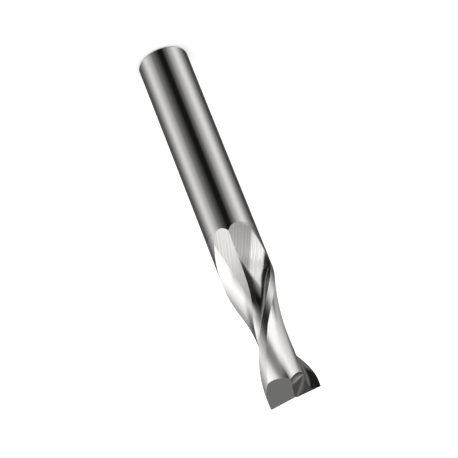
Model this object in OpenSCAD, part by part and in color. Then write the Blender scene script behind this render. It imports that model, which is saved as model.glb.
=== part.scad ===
// Two-flute end mill, ground from one round carbide rod.
// It stands on its shank end, with the cutting end at the top (+Z).
// Distances called d are measured down from the tip, towards the shank.

/* [Overall] */
// Diameter of the shank and of the cutting end
tool_d = 8; // [4:0.5:16]
// Overall length
tool_len = 63; // [50:1:100]
// Width of the chamfer on the shank end
chamfer = 0.25; // [0.1:0.05:0.5]

/* [Teeth] */
// Helix angle at the outside diameter
helix = 29.2; // [26:0.1:33]
// Turn of the whole fluted end about the axis, at the tip
phase = 11.5; // [0:0.5:180]
// Rake of the cutting face, leaning under the edge
rake = 4; // [0:1:8]
// Fillet between the rake face and the floor of the flute
fillet_r = 0.6; // [0.2:0.05:0.8]

/* [Flute wheel] */
// Radius of the core left by the flute, as a part of the tool radius
flute_core = 0.577; // [0.55:0.001:0.6]
// Distance from the tip at which the wheel stops and lifts away
flute_stop = 19.2; // [17:0.1:20]
// Radius that the flute wheel grinds along its travel
flute_wheel_r = 24.6; // [22:0.1:30]
// Crown radius across the flute wheel
flute_crown_r = 200; // [100:10:400]
// Swivel of the flute wheel from the axis
flute_swivel = 20; // [16:1:22]
// Angle from the cutting edge to the deepest line of the flute
flute_turn = 26.5; // [22:0.5:30]
// Half width of the wheel up to its rounded corner, on the cutting edge's side
corner_from = 0.85; // [0.7:0.05:1.2]
// Radius of the wheel's rounded corner
corner_r = 2.1; // [1.5:0.1:3]

/* [Relief wheel] */
// Radius left at the thinnest part of the tooth's back, as a part of the tool radius
back_core = 0.584; // [0.57:0.001:0.62]
// Distance from the tip at which the wheel stops and lifts away
back_stop = 17.7; // [16:0.1:19]
// Radius that the relief wheel grinds along its travel
back_wheel_r = 45; // [38:0.5:50]
// Crown radius across the relief wheel
back_crown_r = 16.3; // [14:0.1:20]
// Swivel of the relief wheel from the axis
back_swivel = 20.7; // [18:0.1:24]
// Angle from the cutting edge back to the deepest line of the relief
back_turn = 111.9; // [108:0.1:115]
// Length at the tip over which the land grows wider
land_grow = 11; // [0:0.5:12]
// How far the land's back edge moves per mm over that length, as an angle
land_spread = 1.8; // [0:0.1:2.2]

/* [Cutting end] */
// Slope of the end relief behind each end edge
end_relief = 39; // [20:1:50]
// Fall of each end edge towards the centre
dish = 1.5; // [0.5:0.5:3]
// Slope of the bottom line of the end gash
gash = 50; // [35:1:60]
// Distance that each gash runs past the centre
gash_past = 0.2; // [0.1:0.05:0.4]

/* [Hidden] */
R = tool_d / 2;
turn_per_mm = 180 * tan(helix) / (PI * R);
scale_up = R / 4;                   // the wheel settings are given for an 8 mm tool
outer = R - 0.01;                   // the fluted end is ground a hair under the shank
overrun = 0.6;                      // stock above the tip, cut off by the end faces

// Wheel: [swivel, crown radius, wheel radius, floor radius, stop, angle of floor at d = 0,
// further turn per mm over the last stretch to the tip, start and radius of the corner]
flute_wheel = [flute_swivel, flute_crown_r * scale_up, flute_wheel_r * scale_up,
               flute_core * R, flute_stop * scale_up, phase + flute_turn, 0,
               corner_from * scale_up, corner_r * scale_up];
back_wheel = [back_swivel, back_crown_r * scale_up, back_wheel_r * scale_up,
              back_core * R, back_stop * scale_up, phase + 180 - back_turn,
               land_spread / scale_up, 9 * R, R];

// Distance along a ray at which a quadratic surface is first met
function first_met(qa, qb, qc) =
    let (disc = qb * qb - 4 * qa * qc)
    disc < 0 ? 9 * R : sqrt(disc) <= qb ? 9 * R : 2 * qc / (sqrt(disc) - qb);

// How far out along a ray from the axis a standing wheel's surface is met.
// The ray leaves at angle a from the wheel's floor line, dz below the wheel.
// Beyond w[7] towards the cutting edge the wheel's corner of radius w[8] begins.
function ray_to_wheel(w, a, dz) =
    let (sw = sin(w[0]), cw = cos(w[0]), cr = 2 * w[1], wr = 2 * w[2], s = sin(a),
         qa = s * s * (sw * sw / wr + cw * cw / cr),
         qb = 2 * s * sw * cw * dz * (1 / cr - 1 / wr) - cos(a),
         qc = w[3] + dz * dz * (cw * cw / wr + sw * sw / cr),
         r = first_met(qa, qb, qc), e = dz * sw + w[7], q = s * cw, rr = 2 * w[8])
    r * q + e > 0 ? r : first_met(qa + q * q / rr, qb + 2 * q * e / rr, qc + e * e / rr);

// The same for the wheel standing k mm up or down its helix from this level
function at_travel(w, a, k) = ray_to_wheel(w, a + turn_per_mm * k, -k);

// Narrows a span of travel down to the deepest cut
function deepest(w, a, lo, hi, n = 11) =
    n == 0 ? at_travel(w, a, (lo + hi) / 2) :
    let (m = (hi - lo) / 3)
    at_travel(w, a, lo + m) < at_travel(w, a, hi - m)
        ? deepest(w, a, lo, hi - m, n - 1) : deepest(w, a, lo + m, hi, n - 1);

// Surface left by a wheel over its whole travel, at angle ang and distance d
function cut_r(w, ang, d) =
    let (a = ang - w[5] + turn_per_mm * d + w[6] * max(0, land_grow * scale_up - d),
         last = min(13, w[4] - d),
         coarse = [for (k = [last : -1.3 : -13]) [at_travel(w, a, k), k]],
         low = min([for (c = coarse) c[0]]),
         at = [for (c = coarse) if (c[0] == low) c[1]][0])
    len(coarse) == 0 ? 9 * R : low >= 9 * R ? low
        : deepest(w, a, at - 1.3, min(last, at + 1.3));

// Angle of a wheel's floor line, which turns with the helix until the wheel stops
function floor_angle(w, d) =
    w[5] - turn_per_mm * min(d, w[4]) - w[6] * max(0, land_grow * scale_up - d);

// Angle, from inside a cut towards its side, at which the cut leaves the form
function rim(w, d, inside, outside, n = 14) =
    n == 0 ? (inside + outside) / 2 :
    let (m = (inside + outside) / 2)
    cut_r(w, m, d) < outer ? rim(w, d, m, outside, n - 1) : rim(w, d, inside, m, n - 1);

// Angle at which the flute and the relief behind it are equally deep
function heel(d, lo, hi, n = 14) =
    n == 0 ? (lo + hi) / 2 :
    let (m = (lo + hi) / 2)
    cut_r(flute_wheel, m, d) < cut_r(back_wheel, m, d)
        ? heel(d, m, hi, n - 1) : heel(d, lo, m, n - 1);

// Deepest point of a cut at one level: its radius and its angle
function bottom(w, d) =
    let (f = floor_angle(w, d),
         tries = [for (a = [f - 60 : 4 : f + 40]) [cut_r(w, a, d), a]],
         low = min([for (t = tries) t[0]]))
    [for (t = tries) if (t[0] == low) t][0];

// Distance from the tip at which a washout has left the form
function washed_out(w, lo, hi, n = 12) =
    n == 0 ? hi :
    let (m = (lo + hi) / 2)
    bottom(w, m)[0] < outer ? washed_out(w, m, hi, n - 1) : washed_out(w, lo, m, n - 1);

flute_end = washed_out(flute_wheel, flute_wheel[4], flute_wheel[4] + 6 * R);
back_end = washed_out(back_wheel, back_wheel[4], back_wheel[4] + 6 * R);
form_end = max(flute_end, back_end);

function edge_angle(d) = phase - turn_per_mm * d;

// The corners of half a section: flute start, flute end, middle of the heel,
// relief start, relief end, and the next tooth's flute start
function corners(d) =
    let (f = bottom(flute_wheel, d)[1], b = bottom(back_wheel, d)[1], closed = 3,
         f0 = d < flute_end ? max(edge_angle(d), rim(flute_wheel, d, f, f - 90)) : f - closed,
         f1 = d < flute_end ? rim(flute_wheel, d, f, f + 90) : f + closed,
         b0 = d < back_end ? rim(back_wheel, d, b, b - 110) : b - closed,
         b1 = d < back_end ? rim(back_wheel, d, b, b + 120) : b + closed,
         meet = f1 > b0,
         h = meet ? heel(d, f, b) : (f1 + b0) / 2)
    [f0, meet ? h - 4 : f1, h, meet ? h + 4 : b0, b1, f0 + 180];

function polar(r, a) = [r * cos(a), r * sin(a)];

// Point on the rake face at radius r: the face leans back under the edge
function rake_point(r, edge, lean) = polar(r, edge - atan2((R - r) * tan(lean), r));

// Rake face and its fillet, from outside the edge down to the floor of the flute
rake_steps = 5;
function rake_face(d, a, lean) =
    let (floor_r = cut_r(flute_wheel, a, d), top = outer - floor_r,
         f = min(fillet_r, 0.8 * top), start = floor_r + f,
         foot = a - atan2((R - start) * tan(lean), start))
    top < 0.02 ? [for (i = [0 : rake_steps]) polar(outer, a - 3 + 3 * i / rake_steps)] :
    concat([rake_point(outer, a, lean)],
        [for (i = [1 : rake_steps])
            let (q = 90 * (i - 1) / (rake_steps - 1),
                 ang = foot + (1 - cos(q)) * f / R * 90)
            polar(min(outer, cut_r(flute_wheel, ang, d) + f * (1 - sin(q))), ang)]);

// Points from angle a to angle b on whatever the wheels leave
function arc(d, a, b, n) =
    [for (i = [1 : n])
        let (t = a + (b - a) * i / n)
        polar(min(outer, cut_r(flute_wheel, t, d), cut_r(back_wheel, t, d)), t)];

// Points round the back of a tooth, closer together towards its land
function back_arc(d, a, b, n) =
    [for (i = [1 : n])
        let (t = a + (b - a) * (1 - pow(1 - i / n, 1.3)))
        polar(min(outer, cut_r(back_wheel, t, d)), t)];

// Half a section, from one tooth's edge round to the next tooth's edge
function half_section(d, lean) =
    let (c = corners(d), face = rake_face(d, c[0], lean),
         foot = atan2(face[rake_steps][1], face[rake_steps][0]),
         from = foot + 360 * round((c[0] - foot) / 360))
    concat(face, arc(d, from, c[1], 9), arc(d, c[1], c[2], 3), arc(d, c[2], c[3], 3),
        back_arc(d, c[3], c[4], 14),
        [for (i = [1 : 5]) polar(outer, c[4] + (c[5] - c[4]) * i / 6)]);

// Levels of the sections: wide apart along the helix, close together in the washouts
helix_end = max(flute_wheel[4], back_wheel[4]) + 4.5 * scale_up;
levels = concat([-overrun], [for (d = [0 : 0.75 * scale_up : helix_end]) d],
    [for (i = [1 : 20]) form_end - (form_end - helix_end) * pow(1 - i / 20, 1.2)]);

// All that is left after grinding: wider than the blank below the washouts
module ground_form() {
    sections = [for (d = levels) half_section(min(d, form_end - 0.01), d < 0 ? 0 : rake)];
    plain = 1.05 * sections[len(sections) - 1];
    halves = concat(sections, [plain, plain]);
    heights = concat([for (d = levels) tool_len - d], [tool_len - form_end - 0.1, -1]);
    n = 2 * len(halves[0]);
    last = len(heights) - 1;
    points = [for (j = [0 : last]) for (i = [0 : n - 1])
        let (p = halves[j][i % (n / 2)], s = i < n / 2 ? 1 : -1)
        [s * p[0], s * p[1], heights[j]]];
    ends = [[0, 0, heights[0]], [0, 0, heights[last]]];
    sides = [for (j = [0 : last - 1]) for (i = [0 : n - 1])
        let (k = (i + 1) % n, a = j * n + i, b = j * n + k, c = a + n, e = b + n)
        each [[a, b, e], [a, e, c]]];
    tip_fan = [for (i = [0 : n - 1]) [n * (last + 1), (i + 1) % n, i]];
    root_fan = [for (i = [0 : n - 1]) [n * (last + 1) + 1, last * n + i, last * n + (i + 1) % n]];
    polyhedron(points = concat(points, ends), faces = concat(sides, tip_fan, root_fan));
}

// Round blank with a chamfer on the shank end
module blank() {
    rotate_extrude($fn = 128)
        polygon([[0, 0], [R - chamfer, 0], [R, chamfer], [R, tool_len + overrun / 2],
                 [0, tool_len + overrun / 2]]);
}

// Stock behind one end edge: all that stands above the end relief plane
module end_relief_cut() {
    far = 3 * R;
    translate([R, 0, 0]) rotate([0, -dish, 0]) translate([-2 * far, 0, 0])
        rotate([90, 0, 90])
            linear_extrude(4 * far)
                polygon([[0.02, 0.02 * tan(end_relief)], [-far, -far * tan(end_relief)], [-far, far],
                         [0.02, far]]);
}

// Notch in front of one end edge: it lets the edge run in to the centre
module end_gash_cut() {
    run = 1.6 * R;
    fall = [1, 0, -tan(gash)];                       // along the notch's bottom line
    side = [-0.75, 0.56, 1.05 * tan(gash) - 0.54];   // up its sloping wall
    start = [-gash_past, -0.03 * R, -0.02] - 0.3 * fall;
    base = [start, start + run * fall];
    points = [for (p = base) each [p, p + [0, 0, 3 * R], p + 3 * R * side]];
    polyhedron(points = points, faces = [[0, 2, 1], [3, 4, 5],
        [0, 1, 4], [0, 4, 3], [1, 2, 5], [1, 5, 4], [2, 0, 3], [2, 3, 5]]);
}

// The whole tool is one solid
module end_mill() {
    color("silver") difference() {
        intersection() {
            blank();
            ground_form();
        }
        for (tooth = [0, 180])
            translate([0, 0, tool_len]) rotate([0, 0, phase + tooth]) {
                end_relief_cut();
                end_gash_cut();
            }
    }
}

end_mill();
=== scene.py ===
import math

import bmesh
import bpy
import numpy as np
from mathutils import Matrix, Vector


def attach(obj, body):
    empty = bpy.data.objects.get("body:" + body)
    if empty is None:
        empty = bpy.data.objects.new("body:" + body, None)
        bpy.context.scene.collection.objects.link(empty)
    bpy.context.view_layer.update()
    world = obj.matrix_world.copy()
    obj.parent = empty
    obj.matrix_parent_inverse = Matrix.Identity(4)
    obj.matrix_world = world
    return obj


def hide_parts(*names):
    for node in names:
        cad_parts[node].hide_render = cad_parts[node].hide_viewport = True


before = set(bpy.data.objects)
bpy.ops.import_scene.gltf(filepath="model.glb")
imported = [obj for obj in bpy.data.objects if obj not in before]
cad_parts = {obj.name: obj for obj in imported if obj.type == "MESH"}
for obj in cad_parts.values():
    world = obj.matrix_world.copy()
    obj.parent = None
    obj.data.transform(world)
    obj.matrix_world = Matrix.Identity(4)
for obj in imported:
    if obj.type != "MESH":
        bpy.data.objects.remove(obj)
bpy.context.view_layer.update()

# The camera.
# It looks down at the standing tool from 30 degrees above, on the -Y side, and is
# rolled so that the cutting end hangs towards the lower right of the picture.
PICTURE_WIDTH, FOCAL_LENGTH = 458, 2453.7              # in pixels
LOOK_DOWN, ROLL = 0.5243, 2.7646                       # in radians
camera_data = bpy.data.cameras.new("camera")
camera = bpy.data.objects.new("camera", camera_data)
bpy.context.scene.collection.objects.link(camera)
bpy.context.scene.camera = camera
camera_data.sensor_width = 36.0
camera_data.lens = FOCAL_LENGTH / PICTURE_WIDTH * 36.0
forward = Vector((0, math.cos(LOOK_DOWN), -math.sin(LOOK_DOWN)))
level = forward.cross(Vector((0, 0, 1))).normalized()
upward = level.cross(forward)
picture_right = math.cos(ROLL) * level + math.sin(ROLL) * upward
picture_up = picture_right.cross(forward)
camera.matrix_world = Matrix.Translation((0, -0.3196, 0.2174)) @ Matrix(
    (picture_right, picture_up, -forward)).transposed().to_4x4()

# The ground rod.
# One solid carbide rod, 8 mm thick and 63 mm long. One wheel opens the flute in front of
# each cutting edge, another relieves the back behind it. Both travel along the helix and
# are lifted away at the shank, which leaves two washouts.

# all angles are in degrees, and all sizes in millimetres until they go into the mesh
R, LENGTH, CHAMFER = 4.0, 63.0, 0.25
HELIX, PHASE, RAKE, FILLET = 29.2, 11.5, 4.0, 0.6
TURN = math.degrees(math.tan(math.radians(HELIX))) / R  # of the helix, over one millimetre
# floor is the distance of a wheel's lowest point from the axis, stop is where it is
# lifted away, and its rounded corner lies on the cutting edge's side of its crown
flute_wheel = dict(swivel=20.0, crown=200.0, radius=24.6, floor=0.577 * R, stop=19.2,
                   at=PHASE + 26.5, corner_from=0.85, corner=2.1, spread=0.0)
relief_wheel = dict(swivel=20.7, crown=16.3, radius=45.0, floor=0.584 * R, stop=17.7,
                    at=PHASE + 68.1, corner_from=99.0, corner=9.0, spread=1.8)
GROW = 11.0                                            # over this length at the tip the land grows wider
TRAVEL, STEP = 13, 1.3                                 # how far along the helix a wheel is looked for
MISSED, NOT_THERE = 9 * R, 99.0                        # radii given where no wheel is met


def first_met(qa, qb, qc):
    """Distance along a ray at which a quadratic surface is first met."""
    root = np.sqrt(np.maximum(qb * qb - 4 * qa * qc, 0))
    missed = (qb * qb < 4 * qa * qc) | (root <= qb)
    return np.where(missed, MISSED, 2 * qc / np.where(missed, 1, root - qb))


def ray_to_wheel(wheel, angle, drop):
    """Radius at which a ray from the axis meets a wheel that stands drop mm away."""
    swivel = math.radians(wheel["swivel"])
    s, c = np.sin(np.radians(angle)), np.cos(np.radians(angle))
    sw, cw = math.sin(swivel), math.cos(swivel)
    across, along, corner = 2 * wheel["crown"], 2 * wheel["radius"], 2 * wheel["corner"]
    qa = s * s * (sw * sw / along + cw * cw / across)
    qb = 2 * s * sw * cw * drop * (1 / across - 1 / along) - c
    qc = wheel["floor"] + drop * drop * (cw * cw / along + sw * sw / across)
    crown = first_met(qa, qb, qc)
    q, e = s * cw, drop * sw + wheel["corner_from"]
    rounded = first_met(qa + q * q / corner, qb + 2 * q * e / corner, qc + e * e / corner)
    return np.where(crown * q + e > 0, crown, rounded)


def wheel_cut(wheel, angle, down):
    """What a wheel leaves after all its travel, at an angle and down mm from the tip.

    Gives the radius, the place on the wheel that ground it (across and along, in mm)
    and how far the wheel still had to travel."""
    angle, down = np.broadcast_arrays(np.asarray(angle, float), np.asarray(down, float))
    base = angle - wheel["at"] + TURN * down + wheel["spread"] * np.maximum(0, GROW - down)
    last = np.minimum(TRAVEL, wheel["stop"] - down)
    best, where = np.full(base.shape, NOT_THERE), np.zeros(base.shape)
    for i in range(21):
        k = last - STEP * i
        radius = np.where(k >= -TRAVEL, ray_to_wheel(wheel, base + TURN * k, -k), NOT_THERE)
        where = np.where(radius < best, k, where)
        best = np.minimum(radius, best)
    low, high = where - STEP, np.minimum(last, where + STEP)
    for i in range(13):
        third = (high - low) / 3
        a, b = low + third, high - third
        nearer = ray_to_wheel(wheel, base + TURN * a, -a) < ray_to_wheel(wheel, base + TURN * b, -b)
        low, high = np.where(nearer, low, a), np.where(nearer, b, high)
    k = (low + high) / 2
    met = np.minimum(best, ray_to_wheel(wheel, base + TURN * k, -k))
    radius = np.where(best >= MISSED, MISSED, met)
    swivel, beside = math.radians(wheel["swivel"]), radius * np.sin(np.radians(base + TURN * k))
    return (radius, beside * math.cos(swivel) - k * math.sin(swivel),
            beside * math.sin(swivel) + k * math.cos(swivel), last - k)


def ground_radius(wheel, angle, down):
    return wheel_cut(wheel, angle, down)[0]


def floor_angle(wheel, down):
    """Angle of a wheel's floor: it follows the helix up to the stop and then stands still."""
    return wheel["at"] - TURN * np.minimum(down, wheel["stop"]) - wheel["spread"] * np.maximum(0, GROW - down)


def between(test, inside, outside):
    """Angles at which a test that holds inside stops holding."""
    a, b = np.array(inside, float), np.array(outside, float)
    for i in range(15):
        m = (a + b) / 2
        holds = test(m)
        a, b = np.where(holds, m, a), np.where(holds, b, m)
    return (a + b) / 2


def deepest_point(wheel, down):
    """Radius and angle of the deepest point that a wheel leaves at each level."""
    floor = floor_angle(wheel, down)
    turns = np.arange(-60, 41, 3.0)
    radius = np.stack([ground_radius(wheel, floor + t, down) for t in turns])
    return radius.min(0), floor + turns[radius.argmin(0)]


def last_level(low, high, holds):
    """Distance from the tip, between low and high, at which a test stops holding."""
    for i in range(22):
        m = (low + high) / 2
        if holds(np.array([m])):
            low = m
        else:
            high = m
    return low


# where each washout has risen to the blank
flute_end, relief_end = [
    last_level(wheel["stop"], wheel["stop"] + 14.0, lambda m: deepest_point(wheel, m)[0][0] < R)
    for wheel in (flute_wheel, relief_wheel)]


def corners(down):
    """Angles, for half a section, at which the rake face, flute, relief and land begin."""
    f, b = deepest_point(flute_wheel, down)[1], deepest_point(relief_wheel, down)[1]
    in_flute, in_relief = down < flute_end - 1e-6, down < relief_end - 1e-6
    near = between(lambda m: ground_radius(flute_wheel, m, down) < R, f, f - 90)
    far = between(lambda m: ground_radius(flute_wheel, m, down) < R, f, f + 90)
    first = between(lambda m: ground_radius(relief_wheel, m, down) < R, b, b - 110)
    last = between(lambda m: ground_radius(relief_wheel, m, down) < R, b, b + 120)
    heel = between(lambda m: ground_radius(flute_wheel, m, down) < ground_radius(relief_wheel, m, down), f, b)
    face = np.where(in_flute, np.maximum(PHASE - TURN * down, near), f)
    far, first = np.where(in_flute, far, f), np.where(in_relief, first, b)
    joined = (far > first) & in_flute & in_relief
    return dict(face=face, far=np.where(joined, heel, far), first=np.where(joined, heel, first),
                land=np.where(in_relief, last, b), joined=joined)


# where the two washouts part, with a strip of the blank between them from there on
parting = last_level(flute_wheel["stop"], min(flute_end, relief_end), lambda m: corners(m)["joined"][0])


def closing(a, b, n, power):
    """Levels from a to b that crowd together towards b."""
    return [b - (b - a) * (1 - i / n) ** power for i in range(1, n + 1)]


# the levels of the mesh, from just above the tip down to the end of the washouts
down = list(np.arange(-0.45, parting - 0.3, 0.15))
down += closing(down[-1], parting, 8, 1.3)
down += closing(parting, min(flute_end, relief_end), 26, 1.5)
down += [max(flute_end, relief_end)]
down = np.array(down)
at = corners(down)
rows, column = len(down), down[:, None]

half, zone = [], []                                    # points of half a section, and the zone of each


def add_zone(angle, radius, name):
    angle = np.radians(angle)
    half.append(np.stack([radius * np.cos(angle), radius * np.sin(angle)], 2))
    zone.extend([name] * radius.shape[1])


def evenly(surface, start, end, n):
    """Angles from start to end that lie evenly along the surface's own length."""
    many = start[:, None] + (end - start)[:, None] * np.linspace(0, 1, 3 * n + 1)[None]
    radius = surface(many)
    x, y = radius * np.cos(np.radians(many)), radius * np.sin(np.radians(many))
    steps = np.hypot(np.diff(x, axis=1), np.diff(y, axis=1))
    walked = np.concatenate([np.zeros((rows, 1)), np.cumsum(steps, axis=1)], axis=1)
    picked = np.stack([
        np.interp(np.arange(1, n + 1) / n * w[-1], w, m) if w[-1] > 1e-9 else np.full(n, m[0])
        for w, m in zip(walked, many)])
    picked[:, -1] = end
    return picked


def in_flute(angle):
    return np.minimum(ground_radius(flute_wheel, angle, column), R)


def in_relief(angle):
    return np.minimum(ground_radius(relief_wheel, angle, column), R)


# the rake face, leaning back under the edge, then the fillet at its foot
floor = ground_radius(flute_wheel, at["face"], down)
height = np.where(down < flute_end - 1e-6, np.maximum(0, R - floor), 0)
fillet = np.minimum(FILLET, 0.8 * height)
foot = np.minimum(floor + fillet, R)
radius = R - (R - foot)[:, None] * np.arange(0, 7)[None] / 6
angle = at["face"][:, None] - np.degrees(np.arctan2((R - radius) * math.tan(math.radians(RAKE)), radius))
add_zone(angle, radius, "rake")
quarter = np.radians(90 * np.arange(1, 9) / 8)[None]
angle = angle[:, -1:] + np.degrees((1 - np.cos(quarter)) * fillet[:, None] / floor[:, None].clip(0.1))
rounded = np.minimum(in_flute(angle) + fillet[:, None] * (1 - np.sin(quarter)), R)
add_zone(angle, np.where(height[:, None] > 1e-6, rounded, R), "fillet")

# the floor of the flute, the gap of blank between the washouts, the relieved back, the land
start = angle[:, -1]
far = np.maximum(at["far"], start)
angle = evenly(in_flute, start, far, 56)
radius = in_flute(angle)
add_zone(angle, radius, "flute")
angle = far[:, None] + (at["first"] - far)[:, None] * np.arange(1, 17)[None] / 16
add_zone(angle, np.where(at["joined"][:, None], radius[:, -1:], R) + 0 * angle, "gap")
angle = evenly(in_relief, at["first"], at["land"], 72)
add_zone(angle, in_relief(angle), "relief")
angle = at["land"][:, None] + (at["face"] + 180 - at["land"])[:, None] * np.arange(1, 14)[None] / 14
add_zone(angle, R + 0 * angle, "land")

half = np.concatenate(half, axis=1)
ring = np.concatenate([half, -half], axis=1)
zone = zone + zone

# the shank below the washouts: the last ring is carried down to the chamfered end
round_ring = ring[-1] / np.linalg.norm(ring[-1], axis=1)[:, None]
levels = [(LENGTH - d, ring[i]) for i, d in enumerate(down)]
for z in (LENGTH - down[-1] - 0.5, 30.0, 25.0, 20.0, 15.0, 10.0, 5.0, 1.0, CHAMFER):
    levels.append((z, R * round_ring))
levels.append((0.0, (R - CHAMFER) * round_ring))

# a grid is rolled up into the rings, and each zone is kept as a material index
bpy.ops.object.select_all(action="DESELECT")
bpy.ops.mesh.primitive_grid_add(x_subdivisions=ring.shape[1], y_subdivisions=len(levels) - 1, size=0.01)
tool = bpy.context.object
tool.name = tool.data.name = "ground_tool"
spots = np.array([[(x, y, z) for x, y in np.vstack([xy, xy[:1]])] for z, xy in levels]) / 1000
tool.data.vertices.foreach_set("co", spots.reshape(-1).astype(np.float32))
names = ["rake", "fillet", "flute", "gap", "relief", "land", "shank", "end", "gash"]
index = np.tile([names.index(z) for z in zone[1:] + zone[:1]], (len(levels) - 1, 1))
index[rows - 1:] = names.index("shank")
tool.data.polygons.foreach_set("material_index", index.reshape(-1).astype(np.int32))
bpy.ops.object.mode_set(mode="EDIT")
bpy.ops.mesh.select_all(action="SELECT")
bpy.ops.mesh.remove_doubles(threshold=2e-7)
bpy.ops.mesh.select_mode(type="VERT")
bpy.ops.object.mode_set(mode="OBJECT")
for end in (levels[0][0], 0.0):
    for vertex in tool.data.vertices:
        vertex.select = abs(vertex.co.z * 1000 - end) < 1e-4
    bpy.ops.object.mode_set(mode="EDIT")
    bpy.ops.mesh.edge_face_add()
    bpy.ops.mesh.select_all(action="DESELECT")
    bpy.ops.object.mode_set(mode="OBJECT")
bpy.ops.object.mode_set(mode="EDIT")
bpy.ops.mesh.select_all(action="SELECT")
bpy.ops.mesh.normals_make_consistent(inside=False)
bpy.ops.object.mode_set(mode="OBJECT")

# The cutting end is ground last: for each tooth, a relief plane behind the end edge,
# dished towards the centre, and a gash in front of it.
RELIEF_SLOPE, DISH, GASH, GASH_PAST, GASH_BACK = 39.0, 1.5, 50.0, 0.2, 0.03 * R
mm = Matrix.Scale(0.001, 4)
cutters = []
for tooth in (0, 180):
    turned = mm @ Matrix.Translation((0, 0, LENGTH)) @ Matrix.Rotation(math.radians(PHASE + tooth), 4, "Z")
    # all that stands above the relief plane
    bpy.ops.mesh.primitive_cube_add(size=2)
    cutter = bpy.context.object
    slope = math.tan(math.radians(RELIEF_SLOPE))
    tilt = Matrix.Translation((R, 0, 0)) @ Matrix.Rotation(math.radians(-DISH), 4, "Y")
    for v in cutter.data.vertices:
        x, y, z = v.co
        y = 0.02 if y > 0 else -3 * R
        v.co = turned @ tilt @ Vector((-6 * R if x < 0 else 6 * R, y, 3 * R if z > 0 else y * slope))
    cutters.append((cutter, "end"))
    # a three-sided notch that falls from the centre along the end edge
    bpy.ops.mesh.primitive_cylinder_add(vertices=3, radius=1, depth=2)
    cutter = bpy.context.object
    fall = Vector((1, 0, -math.tan(math.radians(GASH))))
    side = Vector((-0.75, 0.56, 1.05 * math.tan(math.radians(GASH)) - 0.54))
    start = Vector((-GASH_PAST, -GASH_BACK, -0.02)) - 0.3 * fall
    for v in cutter.data.vertices:
        corner = start + (1.6 * R * fall if v.co.z > 0 else Vector())
        turn = round(math.degrees(math.atan2(v.co.y, v.co.x)))
        corner = corner + {90: Vector(), -30: Vector((0, 0, 3 * R)), -150: 3 * R * side}[turn]
        v.co = turned @ corner
    cutters.append((cutter, "gash"))
for cutter, name in cutters:
    bpy.ops.object.select_all(action="DESELECT")
    cutter.select_set(True)
    bpy.context.view_layer.objects.active = cutter
    count = len(cutter.data.polygons)
    cutter.data.polygons.foreach_set("material_index", np.full(count, names.index(name), np.int32))
    bpy.ops.object.mode_set(mode="EDIT")
    bpy.ops.mesh.select_all(action="SELECT")
    bpy.ops.mesh.normals_make_consistent(inside=False)
    bpy.ops.object.mode_set(mode="OBJECT")
    bpy.ops.object.select_all(action="DESELECT")
    bpy.context.view_layer.objects.active = tool
    tool.select_set(True)
    bpy.ops.object.modifier_add(type="BOOLEAN")
    tool.modifiers[-1].operation = "DIFFERENCE"
    tool.modifiers[-1].solver = "MANIFOLD"
    tool.modifiers[-1].object = cutter
    bpy.ops.object.modifier_apply(modifier=tool.modifiers[-1].name)
for cutter, name in cutters:
    bpy.data.objects.remove(cutter)

# An edge is sharp where two ground zones meet at an angle, and smooth inside a zone and
# where one zone flows into the next.
mesh = tool.data
work = bmesh.new()
work.from_mesh(mesh)
for edge in work.edges:
    a, b = edge.link_faces[:2]
    bend = math.degrees(a.normal.angle(b.normal, 0.0))
    pair = {names[a.material_index], names[b.material_index]}
    flowing = pair in ({"rake", "fillet"}, {"fillet", "flute"}, {"land", "shank"}, {"gap", "shank"})
    edge.smooth = bend < (3 if len(pair) == 2 and not flowing else 25)
for face in work.faces:
    face.smooth = True
work.to_mesh(mesh)
work.free()

# Where on its wheel each spot was ground gives the direction of the grinding lines, and
# the mark of the wheel where it stopped is kept apart from what it swept.
MARK_EDGE, MARK_LENGTH = 0.25, 8                       # how soft its edge is, and how far it may reach
spots = np.empty(3 * len(mesh.vertices))
mesh.vertices.foreach_get("co", spots)
x, y, z = spots.reshape(-1, 3).T * 1000
below = LENGTH - z
of_corner = np.empty(len(mesh.loops), np.int32)
mesh.loops.foreach_get("vertex_index", of_corner)
face_zone, face_size = np.empty((2, len(mesh.polygons)), np.int32)
mesh.polygons.foreach_get("material_index", face_zone)
mesh.polygons.foreach_get("loop_total", face_size)
corner_zone = np.repeat(face_zone, face_size)
lines, stopped = np.zeros((len(of_corner), 2)), np.zeros(len(of_corner))
for wheel, zones in ((flute_wheel, ("rake", "fillet", "flute")), (relief_wheel, ("relief",))):
    floor = floor_angle(wheel, below)
    away = (np.degrees(np.arctan2(y, x)) - floor + 70) % 180 - 70
    radius, across, along, to_go = wheel_cut(wheel, floor + away, below)
    mark = np.clip(1 - to_go / MARK_EDGE, 0, 1) * (below > wheel["stop"] - MARK_LENGTH)
    mark *= np.clip((across + wheel["corner_from"] + 0.2) / 0.3, 0, 1)     # the wheel's corner polishes
    here = np.isin(corner_zone, [names.index(z) for z in zones])
    lines[here] = np.stack([across, along - to_go], 1)[of_corner[here]]
    stopped[here] = mark[of_corner[here]]
mesh.uv_layers.new(name="grinding_lines").data.foreach_set("uv", lines.reshape(-1).astype(np.float32))
mesh.attributes.new("wheel_mark", "FLOAT", "CORNER").data.foreach_set("value", stopped.astype(np.float32))
mesh.update()


def linear(hex_colour):
    """An sRGB hex colour as linear RGBA."""
    parts = [int(hex_colour[i:i + 2], 16) / 255 for i in (1, 3, 5)]
    return (*[c / 12.92 if c < 0.04045 else ((c + 0.055) / 1.055) ** 2.4 for c in parts], 1.0)


def add_node(tree, kind, links=(), **settings):
    """Adds a node, sets its properties and inputs, and links other sockets to its inputs."""
    node = tree.nodes.new(kind)
    for key, value in settings.items():
        if hasattr(node, key):
            setattr(node, key, value)
        else:
            node.inputs[key.replace("_", " ")].default_value = value
    for socket, name in links:
        tree.links.new(socket, node.inputs[name])
    return node


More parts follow.
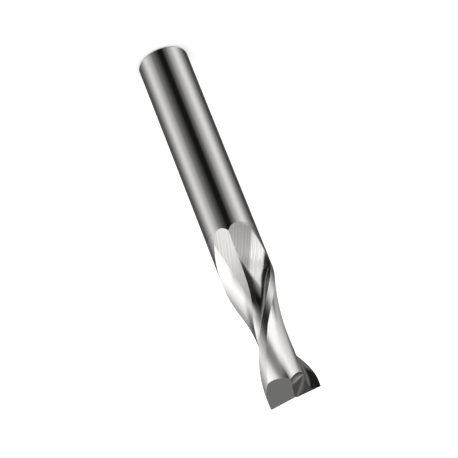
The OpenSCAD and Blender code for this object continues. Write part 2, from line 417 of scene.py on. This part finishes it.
# Tungsten carbide in a cobalt binder, ground with diamond wheels and left bare: a hard,
# nearly colourless grey metal that reflects like a mirror. What a wheel swept stays
# polished, and the mark where it stopped is brushed and carries a painted highlight and painted shade.
def ground_carbide(name, roughness, line_width, line_length, depth, tone="#CDCCCA", mark=None):
    """Bare ground carbide, with grinding lines of a width and length in millimetres.

    The real lines are a few hundredths of a millimetre wide, too fine to show, so they
    are drawn 0.1 to 0.2 mm wide. They run round the tool, or follow the wheel where a
    mark is given: its roughness, and the painted light on it, at the cutting edge's side and past it."""
    material = bpy.data.materials.new(name)
    material.use_nodes = True
    tree = material.node_tree
    shader = tree.nodes["Principled BSDF"]
    shader.inputs["Base Color"].default_value = linear(tone)
    shader.inputs["Metallic"].default_value = 1.0
    shader.inputs["Roughness"].default_value = roughness
    if mark:
        spot = add_node(tree, "ShaderNodeUVMap", uv_map="grinding_lines").outputs["UV"]
        scale = (1 / line_width, 1 / line_length, 1)
    else:
        spot = add_node(tree, "ShaderNodeTexCoord").outputs["Object"]
        scale = (1000 / line_length, 1000 / line_length, 1000 / line_width)
    scaled = add_node(tree, "ShaderNodeMapping", [(spot, "Vector")], Scale=scale)
    noise = add_node(tree, "ShaderNodeTexNoise", [(scaled.outputs["Vector"], "Vector")], Scale=1.0, Detail=3.0)
    bump = add_node(tree, "ShaderNodeBump", [(noise.outputs["Fac"], "Height")], Strength=depth, Distance=0.00002)
    tree.links.new(bump.outputs["Normal"], shader.inputs["Normal"])
    if not mark:
        return material

    brushed = add_node(tree, "ShaderNodeAttribute", attribute_name="wheel_mark").outputs["Fac"]
    # the brushed mark is rougher, streaked, with deeper lines, and spreads light across them
    rough = add_node(tree, "ShaderNodeMapRange", [(brushed, "Value")], To_Min=roughness, To_Max=mark["roughness"])
    uneven = add_node(tree, "ShaderNodeMath", [(noise.outputs["Fac"], 0)], operation="SUBTRACT")
    uneven.inputs[1].default_value = 0.5
    streaked = add_node(tree, "ShaderNodeMath", [(uneven.outputs[0], 0), (brushed, 1), (rough.outputs[0], 2)],
                        operation="MULTIPLY_ADD")
    tree.links.new(streaked.outputs[0], shader.inputs["Roughness"])
    deeper = add_node(tree, "ShaderNodeMapRange", [(brushed, "Value")], To_Min=0.2 * depth, To_Max=depth)
    tree.links.new(deeper.outputs["Result"], bump.inputs["Strength"])
    tangent = add_node(tree, "ShaderNodeTangent", direction_type="UV_MAP", uv_map="grinding_lines")
    tree.links.new(tangent.outputs["Tangent"], shader.inputs["Tangent"])
    spread = add_node(tree, "ShaderNodeMath", [(brushed, 0)], operation="MULTIPLY")
    spread.inputs[1].default_value = 0.7
    tree.links.new(spread.outputs[0], shader.inputs["Anisotropic"])
    # its painted light changes about 1 mm from the middle of the wheel's face, from the tone at the cutting edge's
    # side to the painted shade past it
    across = add_node(tree, "ShaderNodeSeparateXYZ", [(spot, "Vector")]).outputs["X"]
    painted_shade_beyond = add_node(tree, "ShaderNodeMapRange", [(across, "Value")], interpolation_type="SMOOTHSTEP",
                      From_Min=0.8, From_Max=1.5)
    painted_tones = add_node(tree, "ShaderNodeMix", [(painted_shade_beyond.outputs["Result"], 0)], data_type="RGBA")
    painted_tones.inputs[6].default_value = linear(mark["painted_light_edge_side"])
    painted_tones.inputs[7].default_value = linear(mark["painted_shade_beyond"])
    # the painted highlight and shade lie only on the brushed mark; elsewhere the carbide keeps its own tone
    colour = add_node(tree, "ShaderNodeMix", [(brushed, 0), (painted_tones.outputs[2], 7)], data_type="RGBA")
    colour.inputs[6].default_value = linear(tone)
    tree.links.new(colour.outputs[2], shader.inputs["Base Color"])
    return material


# cylindrically ground and lapped: a clean mirror that draws the lights out into long stripes
shank = ground_carbide("polished_carbide_shank", 0.1, 0.15, 12, 0.05)
# swept by the flute wheel: polished, with a brushed mark, painted near white by the edge as a painted highlight
# and grey beyond as painted shade
flute = ground_carbide("wheel_ground_carbide_flute", 0.1, 0.2, 12, 0.5,
                       mark=dict(roughness=0.2, painted_light_edge_side="#FAF9F7", painted_shade_beyond="#B4B3B1"))
# swept by the relief wheel: polished, with a coarser brushed mark, painted an even pale grey darker than the
# carbide: painted shade that dims its reflection
relief = ground_carbide("wheel_ground_carbide_relief", 0.1, 0.2, 12, 0.5,
                        mark=dict(roughness=0.28, painted_light_edge_side="#BEBDBB", painted_shade_beyond="#BEBDBB"))
# what is left of the blank beside the edges: a little duller than the shank
land = ground_carbide("ground_carbide_land", 0.2, 0.15, 12, 0.05)
# flat ground end: a soft, even grey
end = ground_carbide("wheel_ground_carbide_end", 0.2, 0.1, 3, 0.1)
# cut with a coarse, narrow wheel, with rougher lines, and painted darker: painted shade in the hollow of the gash
gash = ground_carbide("coarse_ground_carbide_gash_painted_shade", 0.16, 0.1, 3, 0.25, tone="#949391")
mesh.materials.clear()
for finish in (flute, flute, flute, shank, relief, land, shank, end, gash):    # in the order of names
    mesh.materials.append(finish)
mesh.polygons.foreach_set("material_index", face_zone)
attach(tool, "root")
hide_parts("end_mill")

# The floor and the light above it.
# Plain pale paper under the tool, lit by a wide, soft light from straight overhead.
# Neither shows in the metal, which reflects only the light tent.
bpy.ops.object.select_all(action="DESELECT")
bpy.ops.mesh.primitive_plane_add(size=4)
floor_plane = bpy.context.object
floor_plane.name = "floor"
paper = bpy.data.materials.new("pale_paper")
paper.use_nodes = True
paper.node_tree.nodes["Principled BSDF"].inputs["Base Color"].default_value = linear("#F5F5F5")
paper.node_tree.nodes["Principled BSDF"].inputs["Roughness"].default_value = 0.9
floor_plane.data.materials.append(paper)
floor_plane.visible_glossy = False

sun_data = bpy.data.lights.new("overhead", "SUN")
sun_data.energy = 3.2
sun_data.angle = math.radians(120)
sun = bpy.data.objects.new("overhead", sun_data)
bpy.context.scene.collection.objects.link(sun)
sun.visible_glossy = False

# The light tent.
# Rings of soft light stand one above the other around the tool, bright at the sides and
# dark in front, where the lens looks in, and behind. The tent is dark at its foot, and
# its ceiling is a dim grey.
world = bpy.data.worlds.new("light_tent")
bpy.context.scene.world = world
world.use_nodes = True
tree = world.node_tree
direction = add_node(tree, "ShaderNodeTexCoord")
parts = add_node(tree, "ShaderNodeSeparateXYZ", [(direction.outputs["Generated"], "Vector")])
front = add_node(tree, "ShaderNodeMath", [(parts.outputs["Y"], 0)], operation="MULTIPLY")
front.inputs[1].default_value = -1
around = add_node(tree, "ShaderNodeMath", [(parts.outputs["X"], 0), (front.outputs[0], 1)], operation="ARCTAN2")
share = add_node(tree, "ShaderNodeMapRange", [(around.outputs[0], "Value")], From_Min=-math.pi, From_Max=math.pi)


def ring_of_light(stops):
    """Brightness round the tool, from stops of (degrees to the picture's left, brightness)."""
    ramp = add_node(tree, "ShaderNodeValToRGB", [(share.outputs["Result"], "Fac")])
    for i, (degrees, bright) in enumerate(stops):
        stop = ramp.color_ramp.elements[i] if i < 2 else ramp.color_ramp.elements.new((degrees + 180) / 360)
        stop.position = (degrees + 180) / 360
        stop.color = (bright, bright, bright, 1)
    return ramp.outputs["Color"]


def above(lower, upper, start, end):
    """Lets one layer of light give way to the next one up, between two heights of the direction."""
    risen = add_node(tree, "ShaderNodeMapRange", [(parts.outputs["Z"], "Value")], interpolation_type="SMOOTHSTEP",
                     From_Min=start, From_Max=end)
    mix = add_node(tree, "ShaderNodeMix", [(risen.outputs["Result"], 0), (lower, 6), (upper, 7)], data_type="RGBA")
    return mix.outputs[2]


light = ring_of_light([                                # under the tool
    (-180, 0.15), (-130, 0.2), (-95, 0.2), (-72, 0.02), (20, 0.02), (45, 0.2), (65, 0.35), (120, 0.3),
    (180, 0.15)])
low_ring = ring_of_light([                             # two strip lights and the dark slot, seen in the shank
    (-180, 0.1), (-130, 0.08), (-106, 0.38), (-80, 1.07), (-68, 1.13), (-47, 0.52), (-30, 0.2), (-15, 0.012),
    (3, 0.012), (18, 0.1), (37, 0.29), (47, 0.48), (70, 1.02), (80, 1.08), (108, 0.38), (130, 0.12), (180, 0.1)])
middle_ring = ring_of_light([                          # the same slot, wider, seen in the flute's foot
    (-180, 0.3), (-140, 0.5), (-110, 0.87), (-91, 1.1), (-62, 1.5), (-50, 1.0), (-43, 0.6), (-37, 0.05),
    (18, 0.02), (30, 0.5), (40, 1.1), (50, 1.0), (81, 1.7), (98, 1.5), (119, 1.1), (140, 0.6), (180, 0.3)])
high_ring = ring_of_light([                            # bright nearly all round, seen in the washouts
    (-180, 0.4), (-160, 0.5), (-130, 0.2), (-112, 0.2), (-98, 1.0), (-85, 1.6), (-55, 1.6), (-47, 1.4),
    (-39, 0.85), (-33, 0.45), (-20, 0.33), (-9, 0.5), (4, 1.2), (20, 1.6), (50, 1.6), (60, 2.0), (80, 1.9),
    (119, 1.2), (135, 0.6), (150, 0.35), (180, 0.3)])
ceiling = ring_of_light([(-180, 0.25), (180, 0.25)])
for layer, start, end in ((low_ring, -0.7, -0.6), (middle_ring, -0.47, -0.4), (high_ring, -0.28, -0.2),
                          (ceiling, 0.35, 0.7)):
    light = above(light, layer, start, end)
tree.links.new(light, tree.nodes["Background"].inputs["Color"])
bpy.context.scene.view_settings.view_transform = "Standard"
